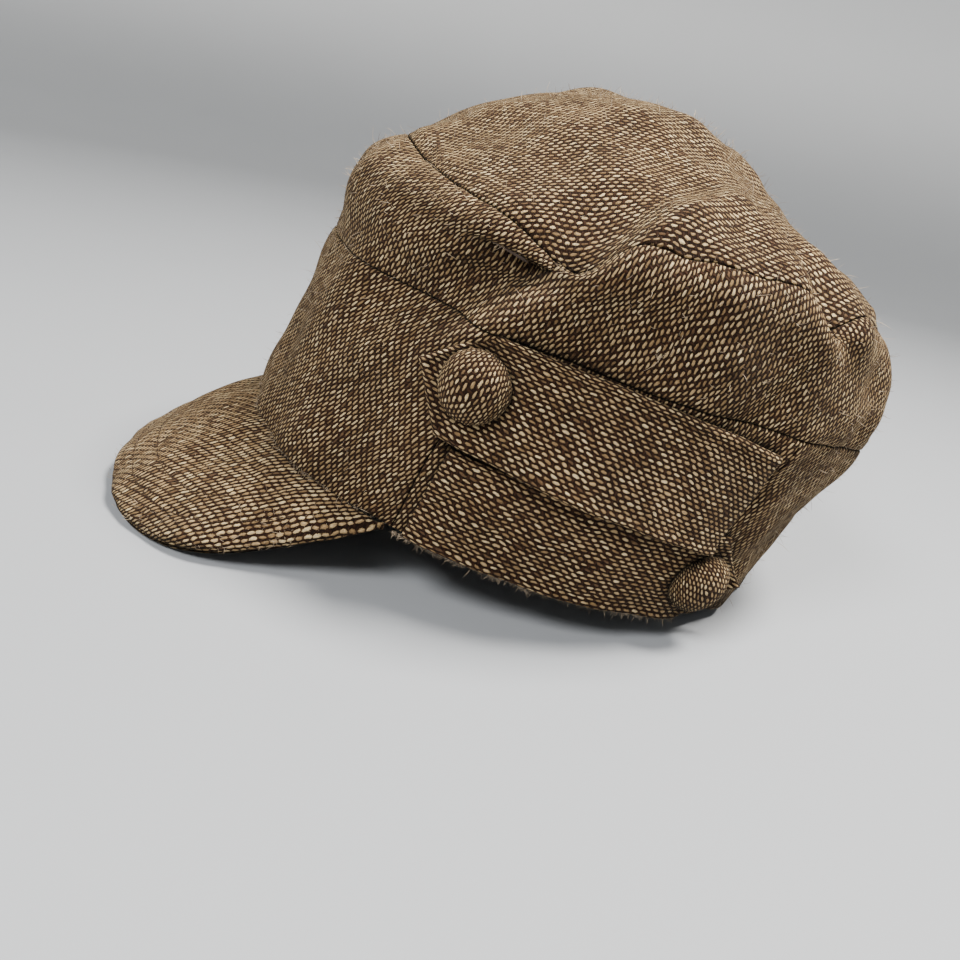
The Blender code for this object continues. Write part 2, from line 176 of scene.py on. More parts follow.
# A fold of the cloth: its path of (angle, level, strength) points, its height outwards and its half width.
Fold = namedtuple("Fold", "path height width")
LEFT_FOLDS = (
    Fold(((36, 1.75, 0.1), (44, 2.05, 0.7), (51, 2.45, 1), (57, 2.85, 1), (63, 3.35, 0.9), (67.5, 3.9, 0.7),
          (70, 4.25, 0.2)), -9.5, 11),
    Fold(((47, 1.8, 0.2), (54, 2.15, 0.9), (61, 2.9, 1), (64.5, 3.4, 0.7), (66, 3.6, 0.1)), -2.2, 3.8),
    Fold(((54, 1.6, 0.2), (59.5, 1.95, 0.9), (64.5, 2.4, 1), (70, 3, 1), (75, 3.7, 1), (80, 4.2, 1),
          (91, 4.5, 0.8), (105, 4.7, 0.1)), 4.6, 7),
    Fold(((30, 3.3, 0.2), (42, 3.2, 1), (52, 3.3, 0.8), (60, 3.5, 0.2)), -2.2, 9),
    Fold(((110, 5.1, 0.1), (113, 4.7, 0.8), (117, 4.3, 1), (120, 3.9, 1), (122, 3.4, 0.2)), -4, 7),
    Fold(((126, 3.2, 0.2), (123, 3.5, 1), (120, 3.8, 0.5)), -2.5, 5),
    Fold(((96, 2.2, 0.2), (97, 2.9, 1), (101, 3.5, 0.2)), 2, 13),
    Fold(((112, 2.2, 0.2), (113, 2.9, 1), (111, 3.5, 0.2)), -1.8, 8),
    Fold(((140, 2.4, 0.2), (139, 3.1, 1), (135, 3.8, 0.2)), -2, 7),
)
RIGHT_FOLDS = (
    Fold(((-38, 1.9, 0.1), (-47, 2.3, 0.8), (-56, 2.9, 1), (-63, 3.5, 0.9), (-68, 4.2, 0.2)), -5, 9),
    Fold(((-52, 1.8, 0.2), (-62, 2.4, 0.9), (-72, 3.1, 1), (-80, 3.9, 0.8), (-88, 4.6, 0.2)), 3.4, 8),
    Fold(((-100, 2.3, 0.2), (-104, 3, 1), (-101, 3.8, 0.3)), -2.2, 8),
    Fold(((-140, 2.2, 0.2), (-134, 3, 1), (-131, 3.9, 0.3)), -2, 9),
)
# A notch of the top seam: its place, how far it is pulled down, its width and how far the lining clears it.
Notch = namedtuple("Notch", "angle level drop width slack")
NOTCHES = (Notch(66.5, 4.05, 5, 11, 15), Notch(120, 4, 7.5, 11, 4), Notch(-71, 4, 3, 12, 3))
FOLD_SAMPLES, FOLD_REACH, FOLD_BLEND = 48, 120, 0.3
INSIDE = np.array((0, 10, 60))  # the point that the loose lining hangs towards
# Long waves of worn cloth: height, radians per millimetre along each axis, and phase.
WAVES = (
    (0.55, (0.115, 0.06, 0.03), 0.4),
    (0.5, (-0.07, 0.12, 0.05), 1.9),
    (0.4, (0.05, -0.08, 0.17), 3.1),
    (0.3, (0.19, 0.1, -0.08), 0.7),
    (0.25, (-0.14, 0.2, 0.12), 5.2),
    (0.16, (0.3, -0.22, 0.2), 2.6),
    (0.12, (0.1, 0.36, -0.31), 4.4),
)
UNEVENNESS = 1.3
LEVEL_TRIM = PANEL_TRIM / 20  # a seam's half gap, in levels
DOME_RUN, DOME_COLUMNS = 105, 260  # from the top seam to the middle of the top
APEX_ROWS = (0.98, 0.989, 0.996)


def unit(v):
    return v / np.linalg.norm(v, axis=-1, keepdims=True)


def bell(distance, width):
    """1 where the distance is 0, falling smoothly to nothing over about twice the width."""
    return np.exp(-((distance / width) ** 2))


def float_grids(a, b):
    return np.broadcast_arrays(np.asarray(a, float), np.asarray(b, float))


def ring_points(index, theta):
    ring = RINGS[index]
    turn = np.radians(theta)
    waves = sum(ring[..., k] * np.cos((k - HEIGHT) * turn) for k in (TILT, SADDLE, WAVE))
    x = ring[..., HALF_WIDTH] * np.sin(turn)
    y = ring[..., CENTRE_Y] - ring[..., HALF_LENGTH] * np.cos(turn)
    return np.stack([x, y, ring[..., HEIGHT] + waves], -1)


def ring_slopes(index, theta):
    below = ring_points(np.maximum(index - 1, HEM), theta)
    above = ring_points(np.minimum(index + 1, APEX), theta)
    slope = (above - below) / 2
    before_apex = np.full(index.shape, APEX - 1)
    across = (ring_points(before_apex, theta + 180) - ring_points(before_apex, theta)) / 2
    slope = np.where((index == HEM)[..., None], 2 * slope, slope)
    return np.where((index == APEX)[..., None], across * (1, 1, 0), slope)


def crown_surface(theta, level):
    """The smooth outer surface; level counts rings, so 2 is the band seam and 4 the top seam."""
    theta, level = float_grids(theta, level)
    low = np.clip(np.floor(level), HEM, APEX - 1).astype(int)
    f = (level - low)[..., None]
    start, end = ring_points(low, theta), ring_points(low + 1, theta)
    return (
        (2 * f**3 - 3 * f**2 + 1) * start
        + (f**3 - 2 * f**2 + f) * ring_slopes(low, theta)
        + (3 * f**2 - 2 * f**3) * end
        + (f**3 - f**2) * ring_slopes(low + 1, theta)
    )


def crown_normal(theta, level):
    level = np.minimum(level, APEX - 2 * SMALL)
    along = crown_surface(theta + SMALL, level) - crown_surface(theta - SMALL, level)
    up = crown_surface(theta, level + SMALL) - crown_surface(theta, level - SMALL)
    return unit(np.cross(along, up))


def fold_relief(points, fold):
    """Height of one fold at the points: a smooth ridge or valley along its path."""
    at = np.linspace(0, len(fold.path) - 1, FOLD_SAMPLES)
    angle, level, strength = (np.interp(at, range(len(fold.path)), values) for values in zip(*fold.path))
    line = crown_surface(angle, level)
    near = np.linalg.norm(points - line.mean(0), axis=-1) < FOLD_REACH
    height = np.zeros(points.shape[:-1])
    gaps = np.linalg.norm(points[near][:, None] - line, axis=-1)
    closest = gaps.min(1)
    share = np.exp((closest[:, None] ** 2 - gaps**2) / (FOLD_BLEND * fold.width**2))
    height[near] = fold.height * (share @ strength) / share.sum(1) * bell(closest, fold.width)
    return height


def undulation(points):
    """The slight unevenness of cloth that has been worn: a sum of a few long waves."""
    return UNEVENNESS * sum(size * np.sin(points @ np.array(way) + phase) for size, way, phase in WAVES)


def seam_relief(theta, level, points):
    """The cloth dips into the two seams that go round, and stands over the turned edge above them."""
    height = np.zeros(points.shape[:-1])
    for seam, dip, ridge in ((BAND_SEAM, 0.3, 0.2), (TOP_SEAM, 0.5, 0.6)):
        step = crown_surface(theta, seam + SMALL) - crown_surface(theta, seam - SMALL)
        away = (level - seam) * np.linalg.norm(step, axis=-1) / (2 * SMALL)
        pucker = 1 + 0.35 * np.sin(np.radians(theta) * 53 + seam) + 0.25 * np.sin(np.radians(theta) * 87)
        height -= dip * pucker * bell(away, 2)
        height += ridge * bell(away - 4.6, 1.6)
    return height


def nearness(points, notch, spread=1.0):
    """1 at a notch of the top, falling to 0 over its width."""
    gap = np.linalg.norm(points - crown_surface(notch.angle, notch.level), axis=-1)
    return bell(gap, spread * notch.width)


def sag(points):
    """How far the cloth is pulled down where the top has crumpled."""
    down = sum(notch.drop * nearness(points, notch) for notch in NOTCHES)
    return down[..., None] * (0, 0, -1)


def lining_slack(points):
    """How the lining hangs in, clear of the crumpled places of the top."""
    away = sum(notch.slack * nearness(points, notch, 1.2) for notch in NOTCHES)
    return away[..., None] * unit(INSIDE - points)


def relief(theta, level, points):
    """How far the worn cloth stands out from the smooth surface. Every layer follows it."""
    height = undulation(points) + seam_relief(theta, level, points)
    for fold in LEFT_FOLDS + RIGHT_FOLDS:
        height += fold_relief(points, fold)
    return height


def crown_at(theta, level, depth=0.0):
    """Points of the worn cloth at a depth below its outer surface; a negative depth is outside it."""
    theta, level = float_grids(theta, level)
    points = crown_surface(theta, level)
    out = relief(theta, level, points) - depth
    hung = lining_slack(points) * (np.asarray(depth) >= LINING_LAYER[0])[..., None]
    return points + out[..., None] * crown_normal(theta, level) + sag(points) + hung


def front_rise(theta):
    folded = (np.asarray(theta) + 180) % 360 - 180
    return VISOR_RISE * bell(folded, VISOR_RISE_SPREAD)


def to_row(points):
    """From the cap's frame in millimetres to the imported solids' frame in metres."""
    cos, sin = math.cos(REST_TILT), math.sin(REST_TILT)
    tilt = np.array(((1, 0, 0), (0, cos, sin), (0, -sin, cos)))
    return (np.asarray(points) @ tilt.T + REST_PLACE) * MM


def stations(length, step, fine=(0, 0.12, 0.4, 0.8, 1.4, 2.2, 3.3)):
    """Shares of a length for the rows of a grid: close together at both ends, even between."""
    start = np.array(fine)
    count = max(2, round((length - 2 * start[-1]) / step))
    middle = np.linspace(start[-1], length - start[-1], count + 1)
    return np.concatenate([start[:-1], middle, length - start[-2::-1]]) / length


def run_length(points, axis):
    """Distance along the rows or columns of a grid, from its first point."""
    steps = np.linalg.norm(np.diff(points, axis=axis), axis=-1)
    total = np.cumsum(steps, axis=axis)
    first = np.zeros_like(np.take(total, [0], axis=axis))
    return np.concatenate([first, total], axis=axis)


def rolled(distance, radius=EDGE_ROLL, drop=None):
    """How far a turned cloth edge falls away, by the distance from the edge."""
    inside = np.clip(1 - distance / radius, 0, 1)
    return (drop or radius) * (1 - np.sqrt(1 - inside**2))


def quads(a, b, c, d):
    return np.stack([a.ravel(), b.ravel(), c.ravel(), d.ravel()], 1).tolist()


def add_object(name, data):
    made = bpy.data.objects.new(name, data)
    bpy.context.scene.collection.objects.link(made)
    return made


def make_piece(name, points, faces, cloth, finish, body="cap"):
    """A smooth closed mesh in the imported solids' frame, with its cloth coordinates in millimetres."""
    mesh = bpy.data.meshes.new(name)
    mesh.from_pydata(points.tolist(), [], faces)
    bm = bmesh.new()
    bm.from_mesh(mesh)
    bmesh.ops.recalc_face_normals(bm, faces=bm.faces)
    bm.to_mesh(mesh)
    bm.free()
    mesh.shade_smooth()
    mesh.materials.append(finish)
    place = mesh.attributes.new("cloth", "FLOAT_VECTOR", "POINT")
    flat = np.column_stack([cloth, np.zeros(len(cloth))]).astype(np.float32)
    place.data.foreach_set("vector", flat.ravel())
    piece = add_object(name, mesh)
    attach(piece, body)
    return piece


def two_faced(name, outer, inner, cloth, finish, ring=False, pole=None, body="cap"):
    """A closed sheet between two grids. Its columns may close into a ring, its last row onto a pole."""
    rows, columns = outer.shape[:2]
    count = rows * columns
    index = np.arange(count).reshape(rows, columns)
    left = index if ring else index[:, :-1]
    right = np.roll(index, -1, axis=1) if ring else index[:, 1:]
    faces = quads(left[:-1], right[:-1], right[1:], left[1:])
    faces += quads(left[:-1] + count, left[1:] + count, right[1:] + count, right[:-1] + count)
    faces += quads(left[0] + count, right[0] + count, right[0], left[0])
    points = [outer.reshape(-1, 3), inner.reshape(-1, 3)]
    places = [cloth.reshape(-1, 2)] * 2
    if pole is None:
        faces += quads(left[-1], right[-1], right[-1] + count, left[-1] + count)
    else:
        tips, tip_place = pole
        points.append(np.array(tips))
        places.append(np.array([tip_place] * 2))
        for a, b in zip(left[-1].tolist(), right[-1].tolist()):
            faces += [(a, b, 2 * count), (b + count, a + count, 2 * count + 1)]
    if not ring:
        for c in (0, -1):
            edge = index[:, c]
            faces += quads(edge[:-1], edge[1:], edge[1:] + count, edge[:-1] + count)
    points = to_row(np.concatenate(points))
    return make_piece(name, points, faces, np.concatenate(places), finish, body)


def surface_area(piece):
    """Area of one face of a thin closed piece, in square metres."""
    return sum(face.area for face in piece.data.polygons) / 2


def declare_panel(piece, rests_on, *nodes):
    """The piece stands for CAD nodes, which are hidden; the width of a rectangle of its own area and of the
    same proportions is worked out but not used.
    """
    if nodes:
        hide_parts(*nodes)
    low, high = (np.array(corner) for corner in (piece.bound_box[0], piece.bound_box[6]))
    area = surface_area(piece)
    sizes = np.sort(high - low)[::-1]
    width = math.sqrt(area * max(sizes[1] / sizes[0], NARROWEST_CUT) * CUT_WASTE)


def cloth_grain(theta, along, up, grain):
    """Cloth coordinates on a panel, from the lean of its yarns and of its rows at each angle, in degrees."""
    angle, lean, row_lean = np.array(grain).T
    lean, row_lean = (np.radians(np.interp(theta[0], angle, turns)) for turns in (lean, row_lean))
    steps = np.diff(along[len(along) // 2], prepend=0)
    yarn = np.cumsum(np.sin(row_lean) * steps) + up * np.cos(lean)
    row = np.cumsum(np.cos(row_lean) * steps) - up * np.sin(lean)
    return np.stack([yarn, -row], -1)


def panel(name, thetas, levels, layer, finish, size, step=1.8, roll=EDGE_ROLL, grain=((0, 0, 0),)):
    """A panel of the crown between two angles. levels gives its lowest and highest level at each angle."""
    depth, thickness = layer
    height, width = size
    start, end = thetas
    theta = start + (end - start) * stations(width, step)
    low, high = levels(theta)
    up = stations(height, step)[:, None]
    theta, level = np.broadcast_arrays(theta, low + (high - low) * up)
    smooth = crown_surface(theta, level)
    up_run, along_run = run_length(smooth, 0), run_length(smooth, 1)
    edges = np.minimum.reduce([up_run, up_run[-1] - up_run, along_run, along_run[:, -1:] - along_run])
    outer = crown_at(theta, level, depth + rolled(edges, roll, min(roll, thickness - 0.1)))
    inner = crown_at(theta, level, depth + thickness)
    cloth = cloth_grain(theta, along_run, up_run, grain) + (start * 3.1, start * 1.7)
    return two_faced(name, outer, inner, cloth, finish)


def dome(name, layer, finish, first=TOP_SEAM, roll=EDGE_ROLL, columns=DOME_COLUMNS):
    """The round panel that closes the top."""
    depth, thickness = layer
    theta = np.arange(columns) * 360 / columns
    first = first + PANEL_TRIM / 30
    up = np.append(stations(DOME_RUN, 1.9)[:-6], APEX_ROWS)
    level = first + (APEX - SMALL - first) * up[:, None] * np.ones(columns)
    theta = theta * np.ones_like(level)
    smooth = crown_surface(theta, level)
    run = run_length(smooth, 0)
    outer = crown_at(theta, level, depth + rolled(run, roll, min(roll, thickness - 0.1)))
    inner = crown_at(theta, level, depth + thickness)
    tips = [crown_at(0, APEX - SMALL, d) for d in (depth, depth + thickness)]
    outward = unit(smooth[..., :2] - crown_surface(0, APEX)[:2])
    to_apex = run[-1] - run + np.linalg.norm(smooth[-1] - crown_surface(0, APEX), axis=-1)
    cloth = to_apex[..., None] * outward[..., ::-1]
    return two_faced(name, outer, inner, cloth, finish, ring=True, pole=(tips, (0, 0)))


def visor_surface(across, out):
    """The top of the visor: across runs from -1 at the wearer's right to 1, out from 0 at the band to 1."""
    theta = across * VISOR_CORNER
    root = crown_surface(theta, front_rise(theta) / BAND_RISE) - (0, 0, VISOR_DROPPED)
    corner = crown_surface(np.copysign(VISOR_CORNER, across), 0)
    turn = across * math.pi / 2
    side = np.abs(np.sin(turn))
    front = np.maximum(np.cos(turn), 0)
    squeeze = VISOR_HALF_WIDTH - np.abs(corner[..., 0])
    width = VISOR_HALF_WIDTH * side**VISOR_SQUARENESS - squeeze * side**12
    edge = np.stack([
        np.copysign(width, across),
        corner[..., 1] - VISOR_REACH * front**VISOR_SQUARENESS,
        corner[..., 2] - (VISOR_DROP + VISOR_ARCH * side**2) * front**VISOR_FADE,
    ], -1)
    out = out[..., None]
    return root + (edge - root) * out + 4 * out * (1 - out) * VISOR_BOW * (0, 0, 1)


def visor_normal(across, out):
    sideways = visor_surface(across + SMALL, out) - visor_surface(across - SMALL, out)
    outward = visor_surface(across, out + SMALL) - visor_surface(across, out - SMALL)
    return unit(np.cross(outward, sideways))


def distance_to_line(points, line):
    flat = points.reshape(-1, 3)
    gaps = np.concatenate([
        np.linalg.norm(part[:, None] - line, axis=-1).min(1) for part in np.array_split(flat, 12)
    ])
    return gaps.reshape(points.shape[:-1])


def visor_relief(points, edge_distance):
    """The stitched rows press the cloth in, and the cloth is slightly uneven between them."""
    height = 0.45 * undulation(points * 1.4)
    for row in STITCH_ROWS:
        away = edge_distance - row
        height += 0.18 * bell(away, 3.2) - 0.5 * bell(away, 0.9)
    return height


def visor_root_lift(points):
    """The top cover rides up, and a little way in under the band, where it meets the band's front."""
    centre = bell(points[..., 0], 48)
    behind = np.clip((points[..., 1] + 165) / 62, 0, 1)
    rise = VISOR_ROOT_LIFT * centre * behind**2 * (3 - 2 * behind)
    return np.stack([np.zeros_like(rise), 0.6 * behind**4 * rise, rise], -1)


def visor_grid():
    """The visor's surface, its normals, the distance from its edge and its share of the full thickness."""
    across = (2 * stations(264, 1.9) - 1) * VISOR_CORNER_SHARE
    out = VISOR_ROOT_IN + (1 - VISOR_ROOT_IN) * stations(85, 1.9, (0, 0.15, 0.5, 1, 1.7, 2.6))
    across, out = np.meshgrid(across, out)
    points = visor_surface(across, out)
    edge = visor_surface(np.linspace(-1, 1, 400), np.ones(400))
    sewn = np.clip((1 - np.abs(across)) / 0.08, 0, 1)
    normal = visor_normal(np.clip(across, -0.93, 0.93), out)
    return points, normal, distance_to_line(points, edge), 0.2 + 0.8 * np.sin(sewn * math.pi / 2)


def build_visor(cloth):
    points, normal, from_edge, share = visor_grid()
    height = visor_relief(points, from_edge) * share
    drop = rolled(from_edge, VISOR_EDGE, VISOR_THICKNESS / 2 - 0.06) * share
    outward = unit(points[..., :2] - visor_surface(np.ones(1), np.zeros(1))[0, :2] * (0, 1))
    turned = points[..., :2] * (1.03, 1.12) + outward * drop[..., None]
    place = np.stack([-turned[..., 1], turned[..., 0]], -1)
    thick = (VISOR_COVER + 0.25) * share
    top_out = height - drop
    top_in = np.minimum(top_out - 0.08, -thick)
    under_out = -VISOR_THICKNESS * share + drop - 0.3 * height
    under_in = np.maximum(under_out + 0.08, -VISOR_THICKNESS * share + thick)
    layers = (
        ("visor_top", points + visor_root_lift(points), top_out, top_in),
        ("visor_under", points, under_out, under_in),
    )
    for name, base, outer, inner in layers:
        outer, inner = (base + layer[..., None] * normal for layer in (outer, inner))
        piece = two_faced(name, outer, inner, place, cloth)
        declare_panel(piece, ["visor_board"], f"{name}_cover")


def spindle_faces(count, rows, sides):
    """Faces of closed spindles, each made of a few rings of points."""
    last = sides * (rows - 1)
    pattern = [tuple(range(sides))[::-1], tuple(range(last, last + sides))]
    for start in range(0, last, sides):
        for k in range(start, start + sides):
            n = start + (k + 1 - start) % sides
            pattern.append((k, n, n + sides, k + sides))
    return [tuple(n + sides * rows * i for n in face) for i in range(count) for face in pattern]


def stitch_lines():
    """Points and normals along each stitched row, on the visor's top and under it."""
    points, normal, from_edge, _ = visor_grid()
    height, raised = visor_relief(points, from_edge), visor_root_lift(points)
    for row in STITCH_ROWS:
        top, under, outward = [], [], []
        for c in np.flatnonzero(from_edge[0] > row + 4):
            order = np.argsort(from_edge[:, c])
            place = np.interp(row, from_edge[order, c], np.arange(len(order)))
            low = int(place)
            f = place - low
            a, b = order[low], order[min(low + 1, len(order) - 1)]
            at, out, rise, lift = (g[a, c] * (1 - f) + g[b, c] * f for g in (points, normal, height, raised))
            top.append(at + out * rise + lift)
            under.append(at - out * (VISOR_THICKNESS + 0.3 * rise))
            outward.append(out)
        yield np.array(top), np.array(outward)
        yield np.array(under), -np.array(outward)


def build_visor_stitching(thread):
    """Short stitches of thread along the visor's stitched rows, as one piece."""
    points, places = [], []
    turns = [2 * math.pi * k / STITCH_SIDES for k in range(STITCH_SIDES)]
    for line, normal in stitch_lines():
        run = run_length(line, 0)
        for at in np.arange(STITCH_PITCH, run[-1] - STITCH_PITCH, STITCH_PITCH):
            centre, ahead = (np.array([np.interp(at + step, run, v) for v in line.T]) for step in (0, 0.5))
            out = np.array([np.interp(at, run, v) for v in normal.T])
            along = unit(ahead - centre)
            side = unit(np.cross(out, along))
            for share, fat in STITCH_PROFILE:
                spine = centre + along * share * STITCH_LENGTH + out * STITCH_RADIUS * 0.4
                for k, turn in enumerate(turns):
                    spoke = math.cos(turn) * side + math.sin(turn) * out
                    points.append(spine + STITCH_RADIUS * fat * spoke)
                    places.append((at + share * STITCH_LENGTH, k * 0.3))
    rows = len(STITCH_PROFILE)
    faces = spindle_faces(len(points) // (rows * STITCH_SIDES), rows, STITCH_SIDES)
    make_piece("visor_stitching", to_row(points), faces, np.array(places), thread)


def strap_centre(strap, along):
    return strap.tip_height - (strap.tip_height - strap.sewn_height) * np.maximum(1 - along, 0) ** 2.5


def strap_point(strap, side, along, across, lift):
    """A point of a strap: along runs 0 to 1 from its seam to its tip, across -1 to 1 from low to high."""
    along, across = float_grids(along, across)
    theta = strap.sewn_at + (strap.tip_at - strap.sewn_at) * along
    height = strap_centre(strap, along) + across * strap.half_width
    stand = strap.lift_low + (strap.lift_high - strap.lift_low) * (across + 1) / 2
    level = height / BAND_RISE
    points = crown_surface(side * theta, level)
    return points + (stand + lift)[..., None] * crown_normal(side * theta, level)


def strap_length(strap):
    return run_length(strap_point(strap, 1, np.linspace(0, 1, 60), 0, np.zeros(60)), 0)[-1]


def stand_off(strap, length, along, across):
    """The upper strap's low edge hangs clear of the band; the lower strap's tip flares past its button."""
    low = (1 - across) / 2
    if strap is UPPER_STRAP:
        sewn = np.clip(1 - along * length / 22, 0, 1) ** 1.5
        flat = (strap.lift_high + (strap.lift_low - strap.lift_high) * low) * sewn * (1 - low) ** 0.6
        return 3.1 * low**1.7 * np.sin(math.pi * np.clip(along / 0.84, 0, 1)) ** 1.4 - flat
    past = np.clip(((along - 1) * length + BUTTON_FROM_TIP - 11) / 9, 0, 1)
    return 4.5 * past**1.6 + 0.8 * low * np.sin(math.pi * along) ** 2


def strap_relief(strap, length, x, y):
    """Slight waves of the strap, the lip of its turned edge and its creases, from flat millimetres."""
    height = 0.3 * np.sin(x * 0.16 + y * 0.07) + 0.22 * np.sin(x * 0.31 - y * 0.22 + 1.3)
    edge = strap_edge_distance(strap, length, x, y)
    height += 0.4 * bell(edge - 1.4, 1.1) - 0.4 * bell(edge - 3.9, 1)
    for crease in strap.creases:
        (x0, y0), (x1, y1) = ((a * length, b * strap.half_width) for a, b in (crease.start, crease.end))
        reach = (x1 - x0) ** 2 + (y1 - y0) ** 2
        share = np.clip(((x - x0) * (x1 - x0) + (y - y0) * (y1 - y0)) / reach, 0, 1)
        gap = np.hypot(x - x0 - share * (x1 - x0), y - y0 - share * (y1 - y0))
        height += crease.height * bell(gap, crease.width) * (0.6 + 0.4 * np.cos(share * math.pi))
    return height


def strap_edge_distance(strap, length, x, y):
    """Distance from a strap's sides and from the two slanting edges of its tip."""
    slant = math.hypot(STRAP_TIP, strap.half_width)
    to_tip = ((length - x) * strap.half_width - np.abs(y) * STRAP_TIP) / slant
    return np.maximum(np.minimum(strap.half_width - np.abs(y), to_tip), 0)


def build_strap(strap, side_name, side, cloth):
    length = strap_length(strap)
    share = stations(length, 1.7)
    x = np.concatenate([share[:-6] * length, length - TIP_COLUMNS])
    x = np.unique(np.clip(x[x > 0.02 * length], 0, length))
    row = 2 * stations(2 * strap.half_width, 1.6) - 1
    narrowed = np.minimum(1, (length - x) / STRAP_TIP)
    y = row[:, None] * narrowed * strap.half_width
    x = np.broadcast_to(x, y.shape)
    edge = strap_edge_distance(strap, length, x, y)
    drop = rolled(edge, STRAP_EDGE, STRAP_THICKNESS / 2 - 0.02)
    along, across = x / length, y / strap.half_width
    height = strap_relief(strap, length, x, y) + stand_off(strap, length, along, across)
    outer = strap_point(strap, side, along, across, STRAP_THICKNESS - drop + height)
    inner = strap_point(strap, side, along, across, drop + height)
    over = y + np.sign(y) * drop
    to_front = np.sign(strap.sewn_at - strap.tip_at)
    place = np.stack([to_front * (x + side * strap.skew * over), side * over], -1) * strap.weave
    piece = two_faced(f"{strap.name}_{side_name}", outer, inner, place, cloth)
    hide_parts(*(f"{strap.name}_{ply}_{side_name}" for ply in ("face", "backing")))
    surface_area(piece)


def button_frame(strap, side):
    """Where a button sits: on the middle of the strap, +Z out of the cloth and +X along the strap."""
    along = 1 - BUTTON_FROM_TIP / strap_length(strap)
    spots = np.array([(along, 0), (along - 0.02, 0), (along, 0.1)])
    centre, ahead, above = strap_point(strap, side, spots[:, 0], spots[:, 1], np.full(3, STRAP_THICKNESS))
    x = unit(ahead - centre)
    z = unit(np.cross(x, above - centre)) * side * (1 if strap.tip_at < strap.sewn_at else -1)
    x = unit(x - z * (x @ z))
    return centre, np.stack([x, np.cross(z, x), z])


def button_layer(centre, axes, turn, arc, inset):
    """One face of a button's cloth: a dome over the rim, and gathers turned under it."""
    over = arc > 0
    dome_top = BUTTON_CLEARANCE + BUTTON_DOME - inset - BUTTON_RIM_HEIGHT
    rim = BUTTON_RIM - inset
    dome_radius = (BUTTON_RADIUS - inset) * np.cos(np.maximum(arc, 0)) ** 0.8
    radius = np.where(over, dome_radius, BUTTON_RADIUS - BUTTON_RIM + rim * np.cos(arc))
    height = BUTTON_RIM_HEIGHT + np.where(over, dome_top, rim) * np.sin(arc)
    gathers = 0.16 * bell(arc, 0.35) * (np.sin(turn * 22) + 0.5 * np.sin(turn * 13 + 1))
    lumps = 0.16 * np.sin(3 * turn + 1) * np.cos(np.maximum(arc, 0))
    radius, height = np.broadcast_arrays(radius + gathers + lumps, height + 0 * turn)
    flat = np.stack([radius * np.cos(turn), radius * np.sin(turn), height], -1)
    return centre + flat @ axes


def build_button(strap, side_name, side, cloth):
    """The cloth cover of a button: a low dome whose cloth turns under the rim and ends in gathers."""
    label = strap.name.replace("strap", side_name)
    centre, axes = button_frame(strap, side)
    spokes, arcs = 96, 22
    turn = np.arange(spokes) * 2 * math.pi / spokes
    arc = np.concatenate([np.linspace(-1.15, 0, 8)[:-1], np.linspace(0, math.pi / 2, arcs)[:-1]])[:, None]
    outer, inner = (button_layer(centre, axes, turn, arc, inset) for inset in (0, BUTTON_CLOTH))
    run = np.concatenate([(-3, -2.5, -2, -1.5, -1, -0.6, -0.3), np.linspace(0, BUTTON_RUN, arcs)[:-1]])
    away = BUTTON_SWELL * (BUTTON_RUN - run[:, None])
    grain = turn + math.radians(strap.grain)
    place = np.stack([away * np.cos(grain), away * np.sin(grain)], -1)
    top = BUTTON_CLEARANCE + BUTTON_DOME
    tips = [centre + axes[2] * (top - inset) for inset in (0, BUTTON_CLOTH)]
    piece = two_faced(f"button_cloth_{label}", outer, inner, place, cloth, ring=True,
                      pole=(tips, (0, 0)), body=f"button_{label}")
    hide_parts(f"button_cover_{label}")
    surface_area(piece)


def under_strap(theta, height):
    covered = np.zeros(theta.shape, bool)
    for strap in STRAPS:
        low, high = sorted((strap.sewn_at, strap.tip_at))
        middle = (strap.tip_height + strap.sewn_height) / 2
        beside = (np.abs(theta) > low - 5) & (np.abs(theta) < high + 5)
        covered |= beside & (np.abs(height - middle) < strap.half_width + 8)
    return covered


def crown_hairs(rng):
    """Roots, directions and lengths of the hairs of the crown, and of a denser fringe along its hem."""
    theta = rng.uniform(-180, 180, CROWN_HAIRS)
    level = BAND_SEAM * rng.uniform(0, 1, CROWN_HAIRS) ** 0.8
    upper = rng.uniform(0, 1, CROWN_HAIRS) < 0.6
    level = np.where(upper, rng.uniform(BAND_SEAM, APEX - 0.3, CROWN_HAIRS), level)
    level = np.maximum(level, (front_rise(theta) + 2) / BAND_RISE)
    hem_theta = rng.uniform(-180, 180, HEM_HAIRS)
    hem_level = (front_rise(hem_theta) + rng.uniform(0.1, 1.2, HEM_HAIRS)) / BAND_RISE
    theta, level = np.append(theta, hem_theta), np.append(level, hem_level)
    roots, outward = crown_at(theta, level, HAIR_ROOT), crown_normal(theta, level)
    outward[CROWN_HAIRS:] += (0, 0, -1)
    lengths = np.append(rng.gamma(4, 0.6, CROWN_HAIRS), rng.gamma(3, 0.5, HEM_HAIRS))
    shown = (to_row(roots)[:, 2] >= HAIR_CLEAR_OF_FLOOR) & ~under_strap(theta, level * BAND_RISE)
    return roots[shown], unit(outward[shown]), lengths[shown]


def visor_hairs(rng):
    across, out = rng.uniform(-0.9, 0.9, VISOR_HAIRS), rng.uniform(0.05, 1, VISOR_HAIRS) ** 0.6
    outward = visor_normal(across, out)
    return visor_surface(across, out) - HAIR_ROOT * outward, outward


def strap_hairs(rng, side):
    """A fringe along the low edge of the lower strap."""
    along, depth = rng.uniform(0, 0.86, STRAP_HAIRS), rng.uniform(0.2, 0.9, STRAP_HAIRS) * STRAP_THICKNESS
    roots, above = (strap_point(LOWER_STRAP, side, along, -0.985, lift) for lift in (depth, depth + 1))
    return roots, unit(0.5 * (above - roots) - (0, 0, 1))


